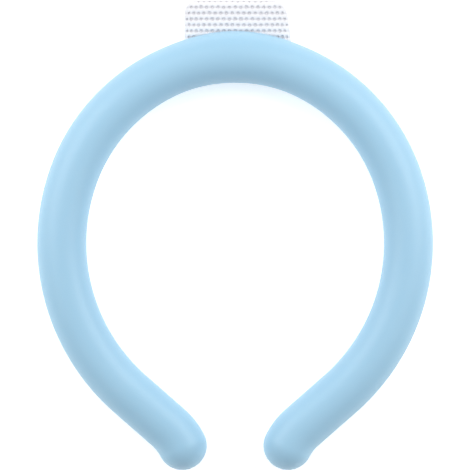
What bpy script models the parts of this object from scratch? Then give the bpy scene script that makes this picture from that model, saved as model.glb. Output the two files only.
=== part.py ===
"""Cooling neck ring: a gel-filled tube bent round the neck and open at the throat, with a net tab at the nape.

The ring lies on its side. Metres, +Z up, the nape at +Y and the two tips at -Y. The origin is on the floor, under
the middle of the outline as seen from above.
"""

import math

import bpy
import numpy as np
from mathutils import Vector
from mathutils.geometry import delaunay_2d_cdt

# The tube. Its section is a regular polygon with a flat side down.
TUBE_LENGTH = 0.4422  # along the centreline, between the middles of the two round tips
TUBE_RADIUS = 0.0103
TUBE_SIDES = 24
SECTION_PITCH = 0.0050  # largest distance between two sections
NAPE_SWELL = 0.0006  # added to the radius at the middle of the nape
NAPE_SWELL_REACH = 0.030  # along the centreline, to where the swelling has faded out
TIP_RINGS_DEG = (22.5, 45.0, 67.5, 84.0)  # sections of a round tip, as angles from its widest section

# The centreline from the middle of the nape to a tip. Share is a run's part of half the tube's length, and
# turn_deg how far it turns round the neck. The last run turns the other way, so the tips point out a little.
CENTRELINE = (
    {"run": "nape", "share": 0.065, "turn_deg": 13.4},
    {"run": "back corner", "share": 0.330, "turn_deg": 55.4},
    {"run": "side", "share": 0.465, "turn_deg": 70.0},
    {"run": "throat", "share": 0.096, "turn_deg": 0.0},
    {"run": "tip", "share": 0.044, "turn_deg": -21.9},
)

# The net tab: a sheet with a hem and staggered holes. It is bonded along the tube's lower outer side, comes out level
# behind the nape, and its sides and far edge roll down.
TAB_WIDTH = 0.0449  # as seen from above, at the tube
TAB_CENTRE = 0.0011  # to the side of the nape's middle
TAB_LEAN = 0.0036  # how far the +X side leans in over the tab's reach
TAB_REACH = 0.0132  # as seen from above, from the nape's outer side to the far edge
TAB_WALL = 0.0012
TAB_HEIGHT = 0.0054  # of the level part's middle surface above the floor
TAB_CORNER = 0.0055
BOND_DEG = 45.0  # where the sheet is bonded on the tube's section, from straight below the centreline
BOND_WIDTH = 0.0044  # of the strip beside the bond, from the sheet's near edge to its bend
CLEARANCE = 0.0003  # between the sheet and the tube
BEND_BLEND = 0.0006  # rounding where the sloping strip meets the level part
SIDE_ROLL_RADIUS = 0.0052
SIDE_ROLL_DEG = 48.0
END_ROLL_RADIUS = 0.0030
END_ROLL_DEG = 72.0

# The holes, in the flat sheet
HOLE_PITCH = 0.00241  # within a row; every other row is shifted by half of it
HOLE_ROW_PITCH = 0.0025
HOLE_WIDTH = 0.0016
HOLE_HEIGHT = 0.0012
HOLE_SIDES = 6
HEM = 0.0012  # from the sheet's edge to the middle of the nearest hole
EDGE_STEP = 0.0022  # between points on a curved edge

MERGE = 0.00001  # points closer than this are one
INSIDE_WITH_HOLES = 2  # the triangulation that leaves out what lies in a loop inside another
COLLECTION = "cooling_neck_ring"


def clear_scene():
    for obj in list(bpy.data.objects):
        bpy.data.objects.remove(obj, do_unlink=True)


def make_material(name, colour, roughness):
    material = bpy.data.materials.new(name)
    material.use_nodes = True
    shader = material.node_tree.nodes["Principled BSDF"]
    shader.inputs["Base Color"].default_value = (*colour, 1.0)
    shader.inputs["Roughness"].default_value = roughness
    shader.inputs["Metallic"].default_value = 0.0
    return material


def centreline(distance):
    """Point on the centreline and heading there, at a distance from the nape's middle; a minus means -X."""
    x = y = heading = 0.0
    left = abs(distance)
    for run in CENTRELINE:
        length = run["share"] * TUBE_LENGTH / 2
        step = left if run is CENTRELINE[-1] else min(left, length)
        turn = math.radians(run["turn_deg"]) * step / length
        chord = step * (math.sin(turn / 2) / (turn / 2) if turn else 1.0)
        x += chord * math.cos(heading - turn / 2)
        y += chord * math.sin(heading - turn / 2)
        heading -= turn
        left -= step
        if left <= 0.0:
            break
    return (x, y, heading) if distance >= 0 else (-x, y, -heading)


def tube_radius(distance):
    """Radius of the tube's section, with the swelling at the nape faded out as half a cosine wave."""
    fade = min(abs(distance) / NAPE_SWELL_REACH, 1.0)
    return TUBE_RADIUS + NAPE_SWELL * (1 + math.cos(math.pi * fade)) / 2


def flat_side(radius):
    """Distance from the centreline to the middle of a flat side of the section."""
    return radius * math.cos(math.pi / TUBE_SIDES)


def tube_stations():
    """Rows of x, y, z and radius along the whole tube, its round tips included."""
    half = TUBE_LENGTH / 2
    count = 2 * math.ceil(half / SECTION_PITCH) + 1
    rows = []
    for distance in np.linspace(-half, half, count):
        x, y, _ = centreline(distance)
        radius = tube_radius(distance)
        rows.append((x, y, flat_side(radius), radius))
    for side in (-1, 1):
        x, y, heading = centreline(side * half)
        for degrees in TIP_RINGS_DEG:
            out = side * TUBE_RADIUS * math.sin(math.radians(degrees))
            row = (x + out * math.cos(heading), y + out * math.sin(heading), flat_side(TUBE_RADIUS),
                   TUBE_RADIUS * math.cos(math.radians(degrees)))
            rows.insert(0 if side < 0 else len(rows), row)
    return rows


def make_tube(collection):
    """A bevelled curve with a radius at each point, turned so that a flat side of its section lies down."""
    rows = tube_stations()
    curve = bpy.data.curves.new("cooling_tube", "CURVE")
    curve.dimensions = "3D"
    curve.twist_mode = "Z_UP"
    curve.bevel_depth = TUBE_RADIUS
    curve.bevel_resolution = (TUBE_SIDES - 4) // 2
    curve.use_fill_caps = True
    spline = curve.splines.new("POLY")
    spline.points.add(len(rows) - 1)
    for point, (x, y, z, radius) in zip(spline.points, rows):
        point.co = (x, y, z, 1.0)
        point.radius = radius / TUBE_RADIUS
        point.tilt = math.pi / TUBE_SIDES
    spline.use_smooth = True
    curve.materials.append(make_material("blue_tube", (0.41, 0.64, 0.82), 0.38))
    tube = bpy.data.objects.new("cooling_tube", curve)
    collection.objects.link(tube)
    weld = tube.modifiers.new("join caps", "WELD")
    weld.merge_threshold = MERGE
    return tube


def rolled(along, flat, radius):
    """Where a sheet that rolls down beyond its flat part has a point: how far out, and how far down."""
    angle = np.maximum(along - flat, 0.0) / radius
    return np.minimum(along, flat) + radius * np.sin(angle), radius * (1 - np.cos(angle))


def tab_sizes():
    """Sizes of the flat sheet, its sides and far edge laid out straight; y is 0 on the centreline at the nape."""
    side_angle, end_angle = math.radians(SIDE_ROLL_DEG), math.radians(END_ROLL_DEG)
    flat_x = TAB_WIDTH / 2 - SIDE_ROLL_RADIUS * math.sin(side_angle)
    far_y = TUBE_RADIUS + NAPE_SWELL + TAB_REACH
    flat_y = far_y - END_ROLL_RADIUS * math.sin(end_angle)
    return {
        "flat_x": flat_x,
        "half_x": flat_x + SIDE_ROLL_RADIUS * side_angle,
        "flat_y": flat_y,
        "far_y": flat_y + END_ROLL_RADIUS * end_angle,
    }


def beside_nape(distance_out):
    """Points of the line that runs a distance outside the tube's centreline, round the back of the neck."""
    reach = TUBE_LENGTH / 5
    points = []
    for distance in np.linspace(-reach, reach, 81):
        x, y, heading = centreline(distance)
        points.append((x - distance_out * math.sin(heading), y + distance_out * math.cos(heading)))
    return np.array(points)


def distance_to_line(points, line):
    """Distance from each point to a line of straight pieces."""
    start, run = line[:-1], np.diff(line, axis=0)
    offset = points[:, None, :] - start[None, :, :]
    share = np.clip((offset * run).sum(axis=2) / (run**2).sum(axis=1), 0.0, 1.0)
    return np.linalg.norm(offset - share[:, :, None] * run, axis=2).min(axis=1)


def rounded_corner(before, corner, after, radius):
    """Points of the arc that rounds a corner of an outline."""
    before, corner, after = (np.array(p, float) for p in (before, corner, after))
    to_before = (before - corner) / np.linalg.norm(before - corner)
    to_after = (after - corner) / np.linalg.norm(after - corner)
    half = math.acos(float(to_before @ to_after)) / 2
    middle = corner + (to_before + to_after) / np.linalg.norm(to_before + to_after) * radius / math.sin(half)
    start = corner + to_before * radius / math.tan(half) - middle
    end = corner + to_after * radius / math.tan(half) - middle
    sweep = math.pi - 2 * half
    count = max(3, math.ceil(radius * sweep / EDGE_STEP) + 1)
    shares = np.linspace(0.0, 1.0, count)
    return [tuple(middle + (math.sin((1 - t) * sweep) * start + math.sin(t * sweep) * end) / math.sin(sweep))
            for t in shares]


def bond_slope():
    """The bond as seen along the tube: how far out it lies, its height, and the slope of the sheet there."""
    bond = math.radians(BOND_DEG)
    reach = TUBE_RADIUS + NAPE_SWELL + CLEARANCE + TAB_WALL / 2
    height = flat_side(TUBE_RADIUS + NAPE_SWELL) - reach * math.cos(bond)
    return reach * math.sin(bond), height, math.tan(bond)


def tab_outline(sizes):
    """Outline of the flat sheet: a curved edge under the tube, two sides and a far edge with round corners."""
    left, right = TAB_CENTRE - sizes["half_x"], TAB_CENTRE + sizes["half_x"]
    out, height, slope = bond_slope()
    seat = beside_nape(out + (TAB_HEIGHT - height) / slope - BOND_WIDTH)
    across = np.linspace(left, right, math.ceil((right - left) / EDGE_STEP))
    outline = list(zip(across, np.interp(across, *seat.T)))
    far_right, far_left = (right - TAB_LEAN, sizes["far_y"]), (left, sizes["far_y"])
    outline += rounded_corner(outline[-1], far_right, far_left, TAB_CORNER)
    outline += rounded_corner(far_right, far_left, outline[0], TAB_CORNER)
    return np.array(outline)


def is_inside(points, outline):
    """Which points lie inside an outline, by counting the sides that a line going out along +X crosses."""
    x, y = points[:, :1], points[:, 1:]
    x1, y1 = outline.T
    x2, y2 = np.roll(outline, -1, axis=0).T
    crosses = (y1 > y) != (y2 > y)
    rise = np.where(crosses, y2 - y1, 1.0)
    return np.count_nonzero(crosses & (x < x1 + (y - y1) / rise * (x2 - x1)), axis=1) % 2 == 1


def hole_centres(sizes, outline):
    """Holes of the staggered rows, from the far hem to where the tube hides the sheet."""
    columns = math.ceil((sizes["half_x"] + abs(TAB_CENTRE)) / HOLE_PITCH)
    rows = math.ceil((sizes["far_y"] - HEM) / HOLE_ROW_PITCH)
    centres = np.array([
        ((column + 0.5 * (1 - row % 2)) * HOLE_PITCH, sizes["far_y"] - HEM - row * HOLE_ROW_PITCH)
        for row in range(rows)
        for column in range(-columns, columns)
    ])
    closed = np.vstack([outline, outline[:1]])
    keep = is_inside(centres, outline) & (distance_to_line(centres, closed) > 0.9 * HEM)
    keep &= distance_to_line(centres, beside_nape(0.0)) > TUBE_RADIUS
    return centres[keep]


def strip_points(sizes, outline, holes):
    """Points across the plain strip by the tube, so that the sheet follows its bend and its curve there."""
    out, height, slope = bond_slope()
    bend = out + (TAB_HEIGHT - height) / slope
    lines = [beside_nape(bend - share * BOND_WIDTH) for share in (0.0, 0.5)]
    across = np.arange(-sizes["half_x"], sizes["half_x"], EDGE_STEP) + TAB_CENTRE
    points = np.array([(x, np.interp(x, *line.T)) for line in lines for x in across])
    closed = np.vstack([outline, outline[:1]])
    keep = is_inside(points, outline) & (distance_to_line(points, closed) > 0.4 * EDGE_STEP)
    keep &= np.linalg.norm(points[:, None] - holes, axis=2).min(axis=1) > 0.6 * HOLE_PITCH
    return points[keep]


def flat_sheet(outline, holes, extra_points):
    """Corners and triangles of the flat sheet, with its holes left out."""
    angles = 2 * math.pi * np.arange(HOLE_SIDES) / HOLE_SIDES
    rim = np.stack([HOLE_WIDTH / 2 * np.cos(angles), HOLE_HEIGHT / 2 * np.sin(angles)], axis=1)
    points, loops = [], []
    for loop in (outline, *(hole + rim for hole in holes)):
        loops.append(list(range(len(points), len(points) + len(loop))))
        points += [Vector(point) for point in loop]
    points += [Vector(point) for point in extra_points]
    corners, _, triangles, *_ = delaunay_2d_cdt(points, [], loops, INSIDE_WITH_HOLES, MERGE)
    return np.array(corners), triangles


def bent(flat, sizes, nape):
    """Middle surface of the tab: points of the flat sheet, with the rolls and the slope down to the bond."""
    across = flat[:, 0] - TAB_CENTRE
    out, side_drop = rolled(np.abs(across), sizes["flat_x"], SIDE_ROLL_RADIUS)
    x = TAB_CENTRE + np.sign(across) * out
    y, end_drop = rolled(flat[:, 1], sizes["flat_y"], END_ROLL_RADIUS)
    level = TAB_HEIGHT - side_drop - end_drop
    bond_out, bond_height, slope = bond_slope()
    strip = bond_height + slope * (distance_to_line(np.stack([x, y], axis=1), nape) - bond_out)
    z = (level + strip - np.sqrt((level - strip) ** 2 + BEND_BLEND**2)) / 2
    return np.stack([x, y, z], axis=1)


def make_tab(collection):
    """A flat sheet with holes, bent to shape and then given its wall."""
    sizes = tab_sizes()
    outline = tab_outline(sizes)
    holes = hole_centres(sizes, outline)
    corners, triangles = flat_sheet(outline, holes, strip_points(sizes, outline, holes))
    mesh = bpy.data.meshes.new("mesh_tab")
    mesh.from_pydata(bent(corners, sizes, beside_nape(0.0)).tolist(), [], triangles)
    mesh.materials.append(make_material("white_net", (0.93, 0.93, 0.94), 0.75))
    tab = bpy.data.objects.new("mesh_tab", mesh)
    collection.objects.link(tab)
    wall = tab.modifiers.new("wall", "SOLIDIFY")
    wall.thickness = TAB_WALL
    wall.offset = 0.0
    return tab


def centre_on_origin(objects):
    """Shift everything so that the middle of the outline is over the origin."""
    bpy.context.view_layer.update()
    corners = np.array([obj.matrix_world @ Vector(corner) for obj in objects for corner in obj.bound_box])
    middle = (corners.min(axis=0) + corners.max(axis=0)) / 2
    for obj in objects:
        obj.location.x -= middle[0]
        obj.location.y -= middle[1]


def main():
    clear_scene()
    collection = bpy.data.collections.new(COLLECTION)
    bpy.context.scene.collection.children.link(collection)
    parts = [make_tube(collection), make_tab(collection)]
    centre_on_origin(parts)


main()
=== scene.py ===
# %% [markdown]
# # A cooling neck ring
# The object is a soft tube filled with cooling gel. It is bent round the neck, open at the throat, and has
# a small white net tab at the nape. It lies on its side on a pale floor and is seen from straight above.
#
# A frame with plain solids of both pieces is loaded first. They are right in size and place, and plain in
# looks. Each of them is replaced here by a fine surface, worked out as a function of two parameters.

import math

import bmesh
import bpy
import numpy as np
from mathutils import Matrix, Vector


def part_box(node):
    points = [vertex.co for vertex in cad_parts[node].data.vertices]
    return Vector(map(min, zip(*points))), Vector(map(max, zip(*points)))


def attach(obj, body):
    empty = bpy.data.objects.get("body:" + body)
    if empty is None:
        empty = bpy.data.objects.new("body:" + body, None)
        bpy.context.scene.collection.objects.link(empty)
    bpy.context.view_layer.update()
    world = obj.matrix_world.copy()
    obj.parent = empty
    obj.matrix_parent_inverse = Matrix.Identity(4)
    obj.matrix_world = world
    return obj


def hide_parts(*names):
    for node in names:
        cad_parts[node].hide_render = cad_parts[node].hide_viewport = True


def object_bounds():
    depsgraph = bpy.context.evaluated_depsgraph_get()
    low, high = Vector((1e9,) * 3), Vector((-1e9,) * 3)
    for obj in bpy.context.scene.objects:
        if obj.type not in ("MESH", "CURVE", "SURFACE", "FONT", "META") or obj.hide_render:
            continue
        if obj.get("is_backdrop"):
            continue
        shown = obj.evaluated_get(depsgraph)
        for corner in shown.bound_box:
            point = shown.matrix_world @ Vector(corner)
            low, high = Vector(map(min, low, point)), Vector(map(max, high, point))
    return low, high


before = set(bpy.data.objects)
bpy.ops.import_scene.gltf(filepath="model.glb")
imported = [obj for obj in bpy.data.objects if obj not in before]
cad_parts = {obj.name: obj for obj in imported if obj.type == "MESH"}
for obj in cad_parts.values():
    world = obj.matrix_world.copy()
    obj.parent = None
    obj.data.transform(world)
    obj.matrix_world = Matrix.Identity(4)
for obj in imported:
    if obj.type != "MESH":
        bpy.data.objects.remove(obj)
cad_low, cad_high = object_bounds()

# %% [markdown]
# ## Sizes
# A script reads best when each size has a name and a unit. Everything here is in metres. The tube's place
# comes from the frame: its solid has 24 flat sides, so its widest point lies a little inside the true
# radius, and one of its flat sides is down on the floor.

# %% Sizes of the tube
TUBE_LENGTH = 0.4422  # along the centreline, between the middles of the round tips
TUBE_RADIUS = 0.0103
NAPE_SWELL = 0.0006  # added to the radius at the middle of the nape
NAPE_SWELL_REACH = 0.030
SOLID_SIDES = 24  # of the plain solid that the fine tube replaces

flat_share = math.cos(math.pi / SOLID_SIDES)
tube_low, tube_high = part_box("cooling_tube")
nape_y = tube_high.y - (TUBE_RADIUS + NAPE_SWELL) * flat_share
print(f"centreline at the nape: y = {nape_y * 1000:.2f} mm")

# %% [markdown]
# ## The centreline
# A bent tube is drawn by its centreline. The real one was bent over a form, so its line is a chain of arcs
# that meet with the same heading: tight at the nape, wider round the sides, straight towards the throat,
# and a last small bend outwards at each tip. A spline through picked points would wobble between them. A
# chain of arcs can't, and it needs only a length and a turn for each run.
#
# An arc's chord is its length times sin(turn / 2) / (turn / 2), and it points along the mean of the two
# headings. So the point at any distance is a sum of chords, and numpy works out all distances at once.

# %% The centreline as a function of distance
CENTRELINE = (
    {"run": "nape", "share": 0.065, "turn_deg": 13.4},
    {"run": "back corner", "share": 0.330, "turn_deg": 55.4},
    {"run": "side", "share": 0.465, "turn_deg": 70.0},
    {"run": "throat", "share": 0.096, "turn_deg": 0.0},
    {"run": "tip", "share": 0.044, "turn_deg": -21.9},
)


def centreline(distance):
    """x, y and heading at distances from the nape's middle, minus towards -X: a sum of chords of arcs."""
    left = np.abs(distance)
    x, y, heading = (np.zeros_like(left) for _ in range(3))
    for run in CENTRELINE:
        length = run["share"] * TUBE_LENGTH / 2
        step = left if run is CENTRELINE[-1] else np.minimum(left, length)
        turn = math.radians(run["turn_deg"]) * step / length
        chord = step * np.sinc(turn / 2 / math.pi)
        x = x + chord * np.cos(heading - turn / 2)
        y = y + chord * np.sin(heading - turn / 2)
        heading = heading - turn
        left = left - step
    side = np.where(distance < 0, -1.0, 1.0)
    return side * x, nape_y + y, side * heading


ends = centreline(np.array([-TUBE_LENGTH / 2, TUBE_LENGTH / 2]))
print(f"tips at x = {ends[0][0] * 1000:.1f} and {ends[0][1] * 1000:.1f} mm")

# %% [markdown]
# ## Surfaces from grids
# Every new piece is a grid of points, so one helper makes them all. A grid that closes on itself, such as a
# tube's section, joins its last column to its first. Rows that shrink to a point, such as a tip's pole, are
# merged, and the faces are turned to point out.

# %% Helper: a mesh from a grid of points
MERGE = 2e-6  # points nearer than this become one


def grid_faces(rows, columns, closed):
    """Corner numbers of the quads between neighbouring rows and columns of a grid."""
    last = columns if closed else columns - 1
    row, column = np.meshgrid(np.arange(rows - 1), np.arange(last), indexing="ij")
    here, after = row * columns + column, row * columns + (column + 1) % columns
    return np.stack([here, after, after + columns, here + columns], axis=-1).reshape(-1, 4)


def make_piece(name, points, faces, attributes=None):
    """A merged, smooth mesh object from points and quads; attributes are named vectors of the points."""
    mesh = bpy.data.meshes.new(name)
    mesh.from_pydata(points.tolist(), [], faces.tolist())
    for label, values in (attributes or {}).items():
        layer = mesh.attributes.new(label, "FLOAT_VECTOR", "POINT")
        layer.data.foreach_set("vector", np.ascontiguousarray(values, dtype=np.float32).ravel())
    cage = bmesh.new()
    cage.from_mesh(mesh)
    bmesh.ops.remove_doubles(cage, verts=cage.verts, dist=MERGE)
    bmesh.ops.recalc_face_normals(cage, faces=cage.faces)
    cage.to_mesh(mesh)
    cage.free()
    mesh.shade_smooth()
    piece = bpy.data.objects.new(name, mesh)
    bpy.context.scene.collection.objects.link(piece)
    print(f"{name}: {len(mesh.vertices)} points, {len(mesh.polygons)} faces")
    return piece


# %% [markdown]
# ## The tube
# The real tube is a skin of soft plastic over gel, welded shut into two round tips. It could be a curve
# with a bevel, but then the tips, the fuller nape and the flat where it rests would each be an extra. As a
# function of the distance along it and the angle round it, all of them are one formula: a circle carried
# along the centreline, whose radius grows at the nape, whose last rows step round a quarter circle to the
# pole, and whose underside stops at the floor.

# %% The tube's surface
ROWS_ALONG = 560
ROWS_ROUND_TIP = 26
POINTS_AROUND = 96


def tube_radius(distance):
    """The radius, plus half a cosine wave of swelling round the nape."""
    fade = np.minimum(np.abs(distance) / NAPE_SWELL_REACH, 1.0)
    return TUBE_RADIUS + NAPE_SWELL * (1 + np.cos(math.pi * fade)) / 2


def tube_points():
    """A circle carried along the centreline, moved on by sin(angle) and shrunk by cos(angle) round a tip."""
    half = TUBE_LENGTH / 2
    tip = np.linspace(0.0, math.pi / 2, ROWS_ROUND_TIP + 1)[1:]
    tip_rows = np.full(ROWS_ROUND_TIP, half)
    distance = np.concatenate([-tip_rows, np.linspace(-half, half, ROWS_ALONG), tip_rows])
    round_off = np.concatenate([-tip[::-1], np.zeros(ROWS_ALONG), tip])
    x, y, heading = centreline(distance)
    radius = tube_radius(distance)
    x = x + radius * np.sin(round_off) * np.cos(heading)
    y = y + radius * np.sin(round_off) * np.sin(heading)
    angle = np.linspace(0.0, 2 * math.pi, POINTS_AROUND, endpoint=False)
    out = (radius * np.cos(round_off))[:, None] * np.cos(angle)
    up = (radius * np.cos(round_off))[:, None] * np.sin(angle)
    height = np.maximum(up + (radius * flat_share)[:, None], 0.0)
    return np.stack([x[:, None] - out * np.sin(heading)[:, None],
                     y[:, None] + out * np.cos(heading)[:, None], height], axis=-1)


tube_grid = tube_points()
tube = make_piece("gel_tube", tube_grid.reshape(-1, 3), grid_faces(*tube_grid.shape[:2], closed=True))
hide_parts("cooling_tube")
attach(tube, "root")

# %% [markdown]
# ## The tab's flat sheet
# The tab is cut from a white net whose holes stand in staggered rows. It is easiest to draw flat and bend
# later, as the real one is made. The sheet has two straight sides, of which one leans in, a straight far
# edge, a near edge that follows the tube, and round corners.
#
# The outline is a function too: how far inside the sheet a point lies. It is the least of the distances to
# the edges, with a circle in each corner. Points that would fall outside are pulled back along its slope,
# so a plain lattice of cells fits any outline.

# %% Sizes of the tab
TAB_WIDTH = 0.0449  # as seen from above, at the tube
TAB_CENTRE = 0.0011  # to the right of the nape's middle
TAB_LEAN = 0.0030  # how far the +X side leans in on its way to the far edge
TAB_REACH = 0.0132  # as seen from above, past the nape's outer side
TAB_WALL = 0.0012
TAB_HEIGHT = 0.0054  # of the middle of the wall over the floor, where the sheet is level
FAR_CORNER, NEAR_CORNER = 0.0075, 0.0022  # radii
BOND_DEG = 45.0  # where the sheet is bonded on the tube's section, from straight below the centreline
BOND_WIDTH = 0.0044  # from the sheet's near edge to its bend
CLEARANCE = 0.0003  # between the sheet and the tube
BEND_BLEND = 0.0006
SIDE_ROLL_RADIUS = 0.0052
SIDE_ROLL_DEG = 48.0
END_ROLL_RADIUS = 0.0030
END_ROLL_DEG = 72.0

side_roll, end_roll = math.radians(SIDE_ROLL_DEG), math.radians(END_ROLL_DEG)
flat_x = TAB_WIDTH / 2 - SIDE_ROLL_RADIUS * math.sin(side_roll)
half_x = flat_x + SIDE_ROLL_RADIUS * side_roll
flat_y = TUBE_RADIUS + NAPE_SWELL + TAB_REACH - END_ROLL_RADIUS * math.sin(end_roll)
far_y = flat_y + END_ROLL_RADIUS * end_roll

bond_radius = TUBE_RADIUS + NAPE_SWELL + CLEARANCE + TAB_WALL / 2
bond_out = bond_radius * math.sin(math.radians(BOND_DEG))
bond_height = (TUBE_RADIUS + NAPE_SWELL) * flat_share - bond_radius * math.cos(math.radians(BOND_DEG))
bond_slope = math.tan(math.radians(BOND_DEG))
near_edge = bond_out + (TAB_HEIGHT - bond_height) / bond_slope - BOND_WIDTH
print(f"flat sheet: {2 * half_x * 1000:.1f} mm wide")
print(f"from {near_edge * 1000:.1f} to {far_y * 1000:.1f} mm behind the centreline")

# %% The outline as a distance
NAPE_LINE_REACH = TUBE_LENGTH / 5
NAPE_LINE_POINTS = 81
nape_stations = np.linspace(-NAPE_LINE_REACH, NAPE_LINE_REACH, NAPE_LINE_POINTS)


def beside_nape(distance_out):
    """Points of the line that runs a distance outside the centreline, y counted from the nape's middle."""
    x, y, heading = centreline(nape_stations)
    out_x, out_y = -distance_out * np.sin(heading), distance_out * np.cos(heading)
    return np.stack([x + out_x, y - nape_y + out_y], axis=1)


near_line = beside_nape(near_edge)


def round_corner(side, end, radius):
    """The lesser distance, or in a corner's square the radius less the distance to its circle's middle."""
    short_side, short_end = np.maximum(radius - side, 0.0), np.maximum(radius - end, 0.0)
    in_corner = (short_side > 0) & (short_end > 0)
    return np.where(in_corner, radius - np.hypot(short_side, short_end), np.minimum(side, end))


def inside_by(flat):
    """Least distance from flat points to the sheet's edges, a circle in each corner; minus is outside."""
    u, v = flat[..., 0], flat[..., 1]
    lean = TAB_LEAN * (v - near_edge) / (far_y - near_edge)
    left = u - (TAB_CENTRE - half_x)
    right = (TAB_CENTRE + half_x - lean) - u
    side, near = np.minimum(left, right), v - np.interp(u, *near_line.T)
    return np.minimum(round_corner(side, far_y - v, FAR_CORNER), round_corner(side, near, NEAR_CORNER))


PULLS = 6
SLOPE_STEP = 1e-6
LEAST_SLOPE = 0.5  # so that a point near a crease of the distance isn't thrown far


def pulled_in(flat):
    """Flat points with those outside moved back along the distance's slope until they lie on the edge."""
    step_u, step_v = np.array([SLOPE_STEP, 0.0]), np.array([0.0, SLOPE_STEP])
    for _ in range(PULLS):
        short = np.minimum(inside_by(flat), 0.0)[..., None]
        rise_u = inside_by(flat + step_u) - inside_by(flat - step_u)
        rise_v = inside_by(flat + step_v) - inside_by(flat - step_v)
        slope = np.stack([rise_u, rise_v], axis=-1) / (2 * SLOPE_STEP)
        length = np.maximum((slope**2).sum(axis=-1, keepdims=True), LEAST_SLOPE**2)
        flat = flat - short * slope / length
    return flat


# %% [markdown]
# ## Bending the sheet
# Cloth bends and hardly stretches, so a point keeps its distance along the sheet. Beyond the flat middle, a
# side follows an arc: the sine of its angle says how far out it lies, and the cosine how far it has
# dropped. By the tube the sheet slopes down to where it is bonded under it. The lower of the two heights
# counts, blended over a fraction of a millimetre so that the bend is round.

# %% Bend flat points into place
def distance_to_line(points, line):
    """Distance from each point to the nearest of the straight pieces of a line."""
    start, run = line[:-1], np.diff(line, axis=0)
    offset = points[:, None, :] - start
    share = np.clip((offset * run).sum(axis=2) / (run**2).sum(axis=1), 0.0, 1.0)
    return np.linalg.norm(offset - share[:, :, None] * run, axis=2).min(axis=1)


def rolled(along, flat, radius):
    """How far out and down an arc carries a point: flat + radius sin(angle), radius (1 - cos(angle))."""
    angle = np.maximum(along - flat, 0.0) / radius
    return np.minimum(along, flat) + radius * np.sin(angle), radius * (1 - np.cos(angle))


nape_line = beside_nape(0.0)


def middle_surface(flat):
    """The bent sheet's middle: the level part less its rolls, or the slope to the bond if that is lower."""
    across = flat[:, 0] - TAB_CENTRE
    out, side_drop = rolled(np.abs(across), flat_x, SIDE_ROLL_RADIUS)
    x = TAB_CENTRE + np.sign(across) * out
    y, end_drop = rolled(flat[:, 1], flat_y, END_ROLL_RADIUS)
    level = TAB_HEIGHT - side_drop - end_drop
    from_tube = distance_to_line(np.stack([x, y], axis=1), nape_line)
    strip = bond_height + bond_slope * (from_tube - bond_out)
    z = (level + strip - np.sqrt((level - strip) ** 2 + BEND_BLEND**2)) / 2
    return np.stack([x, y + nape_y, z], axis=1)


NORMAL_STEP = 5e-5


def bent(flat, height):
    """Points at a height over the bent sheet: the middle surface plus the height along its normal."""
    shape = flat.shape[:-1]
    flat, height = flat.reshape(-1, 2), height.reshape(-1, 1)
    step_u, step_v = np.array([NORMAL_STEP, 0.0]), np.array([0.0, NORMAL_STEP])
    along_u = middle_surface(flat + step_u) - middle_surface(flat - step_u)
    along_v = middle_surface(flat + step_v) - middle_surface(flat - step_v)
    normal = np.cross(along_u, along_v)
    normal /= np.linalg.norm(normal, axis=1, keepdims=True)
    return (middle_surface(flat) + height * normal).reshape(*shape, 3)


# %% [markdown]
# ## The net
# A net could be a flat sheet with a pattern of see-through spots, but from the side that shows no
# thickness. Here each hole is a real one. The sheet is tiled with brick-shaped cells, every other row
# shifted by half a cell. In each cell a grid runs round the hole and, the other way, from the cell's border
# over the top, round the hole's lip and back to the border underneath. Neighbours share their border
# points, so the cells merge into one sheet.
#
# Towards its rolled sides the net is drawn together, so the pitch shrinks there: past a line near each
# side, the further distance is lessened by a share of its square. The cloth is a thick knit of two faces,
# and the lower face has much smaller holes, so a look into a hole from above ends mostly on a shaded ledge.
# The wall and the ledge inside each hole are also painted grey, as painted shade.
# And knitted holes are never alike, so each one is a little off in place, size and turn, from a seeded
# draw.

# %% Cells of the net
HOLE_PITCH = 0.00241
HOLE_ROW_PITCH = 0.0025
HOLE_WIDTH = 0.00142
HOLE_HEIGHT = 0.00120
HEM = 0.00137  # from the far edge to the middle of the first row of holes
LEAST_EDGE = 0.00115  # from a hole's middle to the edge
FULL_HOLE_FROM = 0.0021  # nearer to the edge than this, holes get smaller
DRAWN_FROM = 0.0125  # from the tab's middle to where the net begins to be drawn together
DRAWN_SHARE = 14.1  # metres by which a square metre of distance shrinks
SPARE_COLUMNS = 3  # because the net is drawn together
STEPS_WIDE, STEPS_HIGH = 10, 5  # along a cell's borders; wide is even, so that shifted rows share points


def drawn(flat):
    """Points of the even lattice, moved towards the tab's middle by a share of the distance squared."""
    across = flat[..., 0] - TAB_CENTRE
    far = np.maximum(np.abs(across) - DRAWN_FROM, 0.0)
    return np.stack([flat[..., 0] - np.sign(across) * DRAWN_SHARE * far**2, flat[..., 1]], axis=-1)


def cell_centres():
    """Middles of the staggered cells from the far hem to the near edge, and which of them have a hole."""
    columns = math.ceil((half_x + abs(TAB_CENTRE)) / HOLE_PITCH) + SPARE_COLUMNS
    rows = math.ceil((far_y - near_line[:, 1].min()) / HOLE_ROW_PITCH) + 1
    row, column = np.meshgrid(np.arange(-1, rows), np.arange(-columns, columns + 1), indexing="ij")
    u = (column + 0.5 * (1 - row % 2)) * HOLE_PITCH
    centres = np.stack([u, far_y - HEM - row * HOLE_ROW_PITCH], axis=-1).reshape(-1, 2)
    reach = math.hypot(HOLE_PITCH, HOLE_ROW_PITCH) / 2
    centres = centres[inside_by(drawn(centres)) > -reach]
    has_hole = inside_by(drawn(centres)) > LEAST_EDGE
    has_hole &= distance_to_line(centres, nape_line) > TUBE_RADIUS
    return centres, has_hole


centres, has_hole = cell_centres()
print(f"{len(centres)} cells, {has_hole.sum()} with a hole")


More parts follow.
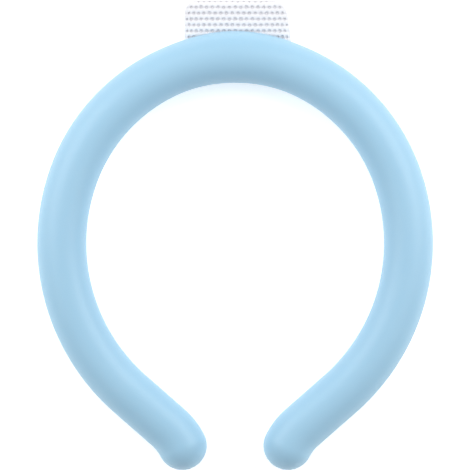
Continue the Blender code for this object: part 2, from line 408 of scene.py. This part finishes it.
def cell_border():
    """Points round one cell's border, evenly spaced along each side, from its lower right corner."""
    wide = np.linspace(-1.0, 1.0, STEPS_WIDE + 1)[:-1] * HOLE_PITCH / 2
    high = np.linspace(-1.0, 1.0, STEPS_HIGH + 1)[:-1] * HOLE_ROW_PITCH / 2
    right, top = np.full(STEPS_HIGH, HOLE_PITCH / 2), np.full(STEPS_WIDE, HOLE_ROW_PITCH / 2)
    half_round = np.concatenate([np.stack([right, high], axis=1), np.stack([-wide, top], axis=1)])
    return np.concatenate([half_round, -half_round])


# %% The wall's profile across a cell
BRIDGE_WALL = 0.00085  # between two holes of a row, where the knit is thin
PROFILE = (
    # share of the way from border to rim, share of the way on from rim to middle,
    # side of the wall (1 is its top, -1 its underside), painted shade (on the yarn inside the hole)
    (0.00, 0.00, 1.00, 0.0),
    (0.20, 0.00, 1.00, 0.0),
    (0.40, 0.00, 1.00, 0.0),
    (0.58, 0.00, 1.00, 0.0),
    (0.78, 0.00, 0.92, 0.0),
    (0.93, 0.00, 0.70, 0.3),
    (1.00, 0.00, 0.35, 0.8),
    (1.00, 0.02, -0.10, 1.0),
    (1.00, 0.12, -0.42, 1.0),
    (1.00, 0.40, -0.52, 1.0),
    (1.00, 0.68, -0.56, 1.0),
    (1.00, 0.77, -0.66, 1.0),
    (1.00, 0.77, -0.85, 0.6),
    (1.00, 0.66, -1.00, 0.0),
    (1.00, 0.30, -1.00, 0.0),
    (0.93, 0.00, -1.00, 0.0),
    (0.58, 0.00, -1.00, 0.0),
    (0.40, 0.00, -1.00, 0.0),
    (0.20, 0.00, -1.00, 0.0),
    (0.00, 0.00, -1.00, 0.0),
)


def wall_half(flat):
    """Half the wall: thin along the rows of holes and full between them, as a cosine of the row pitch."""
    phase = 2 * math.pi * (far_y - HEM - flat[..., 1]) / HOLE_ROW_PITCH
    return (BRIDGE_WALL + (TAB_WALL - BRIDGE_WALL) * (1 - np.cos(phase)) / 2) / 2


SEED = 7
SPREAD = {"size": 0.08, "turn": 0.10, "lobe": 0.07, "shift": 6e-5}  # usual faults of a hole, shift in metres
MOST = 1.5  # times the usual, for size and shift
LOBES, ANY_PHASE = 3, 6.3  # of the wave round a rim; its phase is drawn from a whole turn
LEAST_SIZE = 0.5  # of a hole close to the edge


def net_cells(centres):
    """Cells with a hole: border and rim joined by the profile, the rim an oval with small random faults."""
    draw = np.random.default_rng(SEED)
    count = len(centres)
    corners = cell_border()
    border = centres[:, None] + corners
    angle = np.arctan2(corners[:, 1] / HOLE_HEIGHT, corners[:, 0] / HOLE_WIDTH)
    size = 1 + SPREAD["size"] * draw.standard_normal((count, 1, 1)).clip(-MOST, MOST)
    size = size * np.clip(inside_by(drawn(centres)) / FULL_HOLE_FROM, LEAST_SIZE, 1.0)[:, None, None]
    turned = angle + SPREAD["turn"] * draw.standard_normal((count, 1))
    lobe = SPREAD["lobe"] * draw.standard_normal((count, 1))
    lobe = 1 + lobe * np.cos(LOBES * angle + draw.uniform(0, ANY_PHASE, (count, 1)))
    shift = SPREAD["shift"] * draw.standard_normal((count, 1, 2)).clip(-MOST, MOST)
    half_wide, half_high = HOLE_WIDTH / 2 * lobe, HOLE_HEIGHT / 2 * lobe
    oval = np.stack([half_wide * np.cos(turned), half_high * np.sin(turned)], axis=-1)
    rim = oval * size + centres[:, None] + shift
    share, onward, side, shade = np.array(PROFILE).T
    flat = border[:, :, None] + (rim - border)[:, :, None] * share[:, None]
    flat = flat + (centres[:, None, None] - rim[:, :, None]) * onward[:, None]
    flat = pulled_in(drawn(flat))
    return flat, wall_half(flat) * side, np.broadcast_to(shade, flat.shape[:3])


PLAIN_STEPS = 4


def plain_cells(centres):
    """Cells without a hole, over the top and below, each from its border to its middle."""
    share = np.linspace(0.0, 1.0, PLAIN_STEPS + 1)
    border = centres[:, None] + cell_border()
    flat = border[:, :, None] + (centres[:, None] - border)[:, :, None] * share[:, None]
    flat = pulled_in(drawn(flat))
    return flat, wall_half(flat), np.zeros(flat.shape[:3])


# %% [markdown]
# The sheet's edge is rounded off: within half a millimetre of the outline the wall thins to nothing as a
# quarter circle, so its top and underside meet there and merge. The flat position of each point is kept
# with it, because the knit's fine pattern follows the cloth, not the room.

# %% Build the net
EDGE_ROUND = 0.0005
ON_EDGE = 3e-5  # nearer to the outline than this is on it, and a face that is all on it has no area


def rounded_edge(flat, height):
    """Height thinned towards the outline by the height of a circle's quarter."""
    near = np.clip(1 - (inside_by(flat) - ON_EDGE) / EDGE_ROUND, 0.0, 1.0)
    return height * np.sqrt(np.maximum(1 - near**2, 0.0))


def cells_as_faces(flat, height, shade):
    """Bent points, quads, flat positions and shades of many cell grids, each closed round its hole."""
    count, around, across = height.shape
    points = bent(flat, rounded_edge(flat, height)).reshape(-1, 3)
    one = grid_faces(around + 1, across, closed=False)
    one = np.where(one >= around * across, one - around * across, one)
    faces = (np.arange(count)[:, None, None] * around * across + one).reshape(-1, 4)
    flats = np.concatenate([flat, height[..., None]], axis=-1).reshape(-1, 3)
    on_edge = inside_by(flats[:, :2]) < ON_EDGE
    return points, faces[~on_edge[faces].all(axis=1)], flats, shade.reshape(-1, 1) * np.ones(3)


def join(*groups):
    """Several groups of points, quads and points' values as one, with the quads' numbers moved on."""
    firsts = np.cumsum([0] + [len(group[0]) for group in groups[:-1]])
    points, faces, *values = (np.concatenate(part) for part in zip(*groups))
    moved_on = np.repeat(firsts, [len(group[1]) for group in groups])[:, None]
    return points, faces + moved_on, *values


plain_flat, plain_height, plain_shade = plain_cells(centres[~has_hole])
points, faces, flats, shades = join(
    cells_as_faces(*net_cells(centres[has_hole])),
    cells_as_faces(plain_flat, plain_height, plain_shade),
    cells_as_faces(plain_flat, -plain_height, plain_shade),
)
net = make_piece("net_tab", points, faces, {"flat": flats, "shade": shades})
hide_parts("mesh_tab")
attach(net, "root")

# %% [markdown]
# ## The hem
# A net frays where it is cut, so its edge is bound. The binding is an oval profile carried once round the
# outline. To find its path, rays go out from the sheet's middle, and halving finds where each is the wanted
# distance inside.

# %% The hem's path and surface
HEM_WIDTH = 0.0008
HEM_WALL = 0.0010
HEM_ROWS = 420
HEM_POINTS_AROUND = 14
HALVINGS = 40


def line_inside(distance):
    """Flat points that lie a distance inside the outline, found by halving along rays from the middle."""
    middle = np.array([TAB_CENTRE, (near_edge + far_y) / 2])
    angle = np.linspace(0.0, 2 * math.pi, HEM_ROWS, endpoint=False)
    ray = np.stack([np.cos(angle), np.sin(angle)], axis=1)
    low, high = np.zeros(HEM_ROWS), np.full(HEM_ROWS, TAB_WIDTH)
    for _ in range(HALVINGS):
        reach = (low + high) / 2
        inside = inside_by(middle + reach[:, None] * ray) > distance
        low, high = np.where(inside, reach, low), np.where(inside, high, reach)
    return middle + low[:, None] * ray


def hem_grid():
    """An oval, sine wide and cosine high, carried along the line half its width inside the outline."""
    path = line_inside(HEM_WIDTH / 2)
    along = np.roll(path, -1, axis=0) - np.roll(path, 1, axis=0)
    along /= np.linalg.norm(along, axis=1, keepdims=True)
    outward = np.stack([along[:, 1], -along[:, 0]], axis=1)
    angle = np.linspace(0.0, 2 * math.pi, HEM_POINTS_AROUND, endpoint=False)
    flat = path[:, None] + outward[:, None] * (HEM_WIDTH / 2 * np.sin(angle))[:, None]
    height = np.broadcast_to(HEM_WALL / 2 * np.cos(angle), flat.shape[:2])
    return flat, height


hem_flat, hem_height = hem_grid()
hem_points = bent(hem_flat, hem_height)
hem_faces = grid_faces(HEM_ROWS + 1, HEM_POINTS_AROUND, closed=True) % (HEM_ROWS * HEM_POINTS_AROUND)
hem_flats = np.concatenate([hem_flat, hem_height[..., None]], axis=-1)
hem_values = {"flat": hem_flats.reshape(-1, 3), "shade": np.zeros((hem_height.size, 3))}
hem = make_piece("tab_hem", hem_points.reshape(-1, 3), hem_faces, hem_values)
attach(hem, "root")

# %% [markdown]
# ## Writing shader maths as Python
# A material is a graph of nodes. Sums are hard to read as nodes and easy to read as Python, so a small
# class wraps a socket and adds a Math node for each operator. Every other node comes from one method that
# takes its type, its settings and what its sockets are given.

# %% Helper: materials
class Number:
    """A number that changes over the surface. Arithmetic on it adds Math nodes."""

    def __init__(self, material, socket):
        self.material, self.socket = material, socket

    def math(self, operation, *values):
        node = self.material.node("Math", {"operation": operation}, dict(enumerate(values)))
        return Number(self.material, node.outputs[0])

    def __add__(self, other):
        return self.math("ADD", self, other)

    def __sub__(self, other):
        return self.math("SUBTRACT", self, other)

    def __rsub__(self, other):
        return self.math("SUBTRACT", other, self)

    def __mul__(self, other):
        return self.math("MULTIPLY", self, other)

    def sin(self):
        return self.math("SINE", self)

    def clamped(self):
        return self.math("MINIMUM", self.math("MAXIMUM", self, 0.0), 1.0)

    __radd__ = __add__
    __rmul__ = __mul__


class Material:
    """A node material with its Principled shader."""

    def __init__(self, name, **constants):
        self.data = bpy.data.materials.new(name)
        self.data.use_nodes = True
        self.shader = self.data.node_tree.nodes["Principled BSDF"]
        for label, value in constants.items():
            self.shader.inputs[label.replace("_", " ").title()].default_value = value

    def node(self, kind, settings=None, sockets=None):
        """A node of a kind, its settings first and then its sockets, each a value or a link."""
        node = self.data.node_tree.nodes.new("ShaderNode" + kind)
        for label, value in (settings or {}).items():
            setattr(node, label, value)
        for label, value in (sockets or {}).items():
            self.feed(node.inputs[label], value)
        return node

    def feed(self, socket, value):
        """A link from another socket or a Number, or else a plain value."""
        source = value.socket if isinstance(value, Number) else value
        if isinstance(source, bpy.types.NodeSocket):
            self.data.node_tree.links.new(source, socket)
        else:
            socket.default_value = source

    def noise(self, vector, scale, detail=2.0):
        """Smooth noise from 0 to 1 whose patches are about one over the scale across."""
        node = self.node("TexNoise", {}, {"Vector": vector, "Scale": scale, "Detail": detail})
        return Number(self, node.outputs["Fac"])

    def mix(self, factor, first, second):
        """A colour between two colours."""
        node = self.node("Mix", {"data_type": "RGBA"}, {0: factor, 6: first, 7: second})
        return node.outputs[2]

    def bump(self, height, distance, strength=1.0):
        """A height in shares of a distance, as a change of the normal."""
        node = self.node("Bump", {}, {"Height": height, "Distance": distance, "Strength": strength})
        self.feed(self.shader.inputs["Normal"], node.outputs[0])


def rgba(red, green, blue):
    """A colour with full alpha."""
    return (red, green, blue, 1.0)


# %% [markdown]
# ## The tube's skin
# Soft plastic over gel is satin: its highlights are broad and faint, its colour is even, and up close the
# skin has the finest grain of the mould. The blue is a little deeper and a little paler in wide soft
# patches, because the gel under the skin isn't all alike. Some light goes in and comes out again nearby,
# which softens the shading.

# %% The tube's material
DEEP_BLUE, PALE_BLUE = rgba(0.335, 0.569, 0.743), rgba(0.36, 0.595, 0.766)
PATCH_SCALE, RIPPLE_SCALE, GRAIN_SCALE = 28.0, 400.0, 2600.0  # patches, ripples and grains in a metre
GRAIN_HEIGHT = 0.00001

skin = Material("satin_blue_skin", subsurface_weight=0.15, subsurface_scale=0.004)
skin.shader.inputs["Subsurface Radius"].default_value = (0.6, 0.9, 1.0)
place = skin.node("TexCoord").outputs["Object"]
patches, ripples = skin.noise(place, PATCH_SCALE), skin.noise(place, RIPPLE_SCALE)
grain = skin.noise(place, GRAIN_SCALE, detail=1.0)
skin.feed(skin.shader.inputs["Base Color"], skin.mix(patches, DEEP_BLUE, PALE_BLUE))
skin.feed(skin.shader.inputs["Roughness"], 0.40 + 0.05 * patches + 0.03 * grain)
skin.bump(0.85 * grain + 0.15 * ripples, GRAIN_HEIGHT, strength=0.35)
tube.data.materials.append(skin.data)

# %% [markdown]
# ## The net's yarn
# The net is knitted from white polyester. Its columns of loops are far finer than its holes, so they are
# bump and a slight painted shade in their low parts: ridges across, crossed by finer ridges along, both
# measured on the flat cloth. Along each row of holes the knit is thin, and inside a hole it is the loose
# yarn between the two faces. Both are painted greyer than the close-knit bands, as painted shade.

# %% The net's material
LOOPS_PER_CELL = 5
LOOP_HEIGHT = 0.00009
FUZZ_SCALE = 900.0
# How much grey is painted into a hole as shade, and the grey that the yarn's painted shade mixes to.
HOLE_SHADE = 0.2
PAINTED_SHADE_GREY = rgba(0.50, 0.49, 0.53)


def yarn_material(name, bright, row_shade):
    """White knit: crossed waves of ridges on the flat cloth, fuzz, and painted shade along rows and in
    holes.
    """
    yarn = Material(name, roughness=0.8, sheen_weight=0.2, sheen_roughness=0.5)
    flat = yarn.node("Attribute", {"attribute_name": "flat"}).outputs["Vector"]
    shade = Number(yarn, yarn.node("Attribute", {"attribute_name": "shade"}).outputs["Fac"])
    parts = yarn.node("SeparateXYZ", {}, {0: flat})
    along_u, along_v = Number(yarn, parts.outputs["X"]), Number(yarn, parts.outputs["Y"])
    fuzz = yarn.noise(flat, FUZZ_SCALE, detail=3.0)
    wale = (along_u * (2 * math.pi * LOOPS_PER_CELL / HOLE_PITCH) + fuzz * 1.5).sin()
    course = (along_v * (2 * math.pi * LOOPS_PER_CELL / HOLE_ROW_PITCH) + wale * 0.8).sin()
    relief = 0.5 + 0.25 * wale + 0.15 * course + 0.2 * (fuzz - 0.5)
    # Painted shade: the white is mixed to grey along the rows of holes, inside the holes and in the relief's
    # lows.
    row = (((far_y - HEM) - along_v) * (2 * math.pi / HOLE_ROW_PITCH) + math.pi / 2).sin()
    thin = (row * 1.6 - 0.6).clamped() * row_shade
    painted_shade = (shade * HOLE_SHADE + thin + (1 - relief.clamped()) * 0.15).clamped()
    yarn.feed(yarn.shader.inputs["Base Color"], yarn.mix(painted_shade, bright, PAINTED_SHADE_GREY))
    yarn.bump(relief, LOOP_HEIGHT, strength=0.6)
    return yarn.data


net.data.materials.append(yarn_material("white_knit", rgba(0.845, 0.843, 0.872), row_shade=0.38))
hem.data.materials.append(yarn_material("white_binding", rgba(0.86, 0.86, 0.89), row_shade=0.0))

# %% [markdown]
# ## Floor and light
# The ring is shown in a white studio. Light comes from all round, and a little more from two wide lamps
# behind the nape, one to the left and one to the right, which draw the long soft highlights on the tube's
# outer shoulders and leave the sides that face the throat the deepest. The floor glows faintly, as a lit
# table does, so no shadow is left on it.

# %% The floor and the surroundings
FLOOR_SIZE = 6.0
floor_mesh = bpy.data.meshes.new("floor")
corner = FLOOR_SIZE / 2
floor_corners = [(-corner, -corner, 0), (corner, -corner, 0), (corner, corner, 0), (-corner, corner, 0)]
floor_mesh.from_pydata(floor_corners, [], [(0, 1, 2, 3)])
floor = bpy.data.objects.new("floor", floor_mesh)
bpy.context.scene.collection.objects.link(floor)
floor_paint = Material("floor_paint", roughness=0.9, emission_strength=0.42)
floor_paint.shader.inputs["Base Color"].default_value = rgba(0.92, 0.92, 0.92)
floor_paint.shader.inputs["Emission Color"].default_value = rgba(1.0, 1.0, 1.0)
floor_mesh.materials.append(floor_paint.data)
floor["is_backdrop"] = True

scene = bpy.context.scene
scene.world = bpy.data.worlds.new("studio")
scene.world.use_nodes = True
surround = scene.world.node_tree.nodes["Background"]
surround.inputs["Color"].default_value = rgba(1.0, 1.0, 1.0)
surround.inputs["Strength"].default_value = 0.44
scene.view_settings.view_transform = "Standard"

# %% The lamps
LAMPS = (
    {"name": "right_lamp", "azimuth": 28.0, "elevation": 40.0, "away": 0.9, "size": 0.7, "power": 5.2},
    {"name": "left_lamp", "azimuth": 154.0, "elevation": 38.0, "away": 0.9, "size": 0.7, "power": 4.7},
)


def add_lamp(name, azimuth, elevation, away, size, power):
    """A square lamp that faces the origin; azimuth counts from +X towards +Y, elevation from the floor."""
    light = bpy.data.lights.new(name, "AREA")
    light.size, light.energy = size, power
    lamp = bpy.data.objects.new(name, light)
    a, e = math.radians(azimuth), math.radians(elevation)
    lamp.location = Vector((math.cos(a) * math.cos(e), math.sin(a) * math.cos(e), math.sin(e))) * away
    lamp.rotation_euler = lamp.location.to_track_quat("Z", "Y").to_euler()
    lamp.visible_camera = False
    scene.collection.objects.link(lamp)


for lamp in LAMPS:
    add_lamp(**lamp)

# %% [markdown]
# ## The camera
# The picture is taken from straight above, with the nape up. A long lens far away keeps the sides of the
# tube from showing in perspective. Its distance follows from the width of the view at the height of the
# tube's middle.

# %% The camera
LENS, SENSOR = 300.0, 36.0
PIXEL = 0.00042  # at the height of the tube's middle
VIEW_WIDTH = 470 * PIXEL
CENTRE_RIGHT, CENTRE_BELOW_NAPE = -0.15 * PIXEL, 178.0 * PIXEL  # of the picture, from the nape's middle

camera_data = bpy.data.cameras.new("camera")
camera_data.lens, camera_data.sensor_width = LENS, SENSOR
camera = bpy.data.objects.new("camera", camera_data)
away = VIEW_WIDTH * LENS / SENSOR
camera.location = (CENTRE_RIGHT, nape_y - CENTRE_BELOW_NAPE, TUBE_RADIUS + away)
scene.collection.objects.link(camera)
scene.camera = camera
print(f"camera {away:.2f} m above the tube")

# %% Finish
new_low, new_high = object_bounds()
grown = [round((a - b) * 1000, 2) for a, b in zip((*cad_low, *new_high), (*new_low, *cad_high))]
print("grown by (mm):", grown)
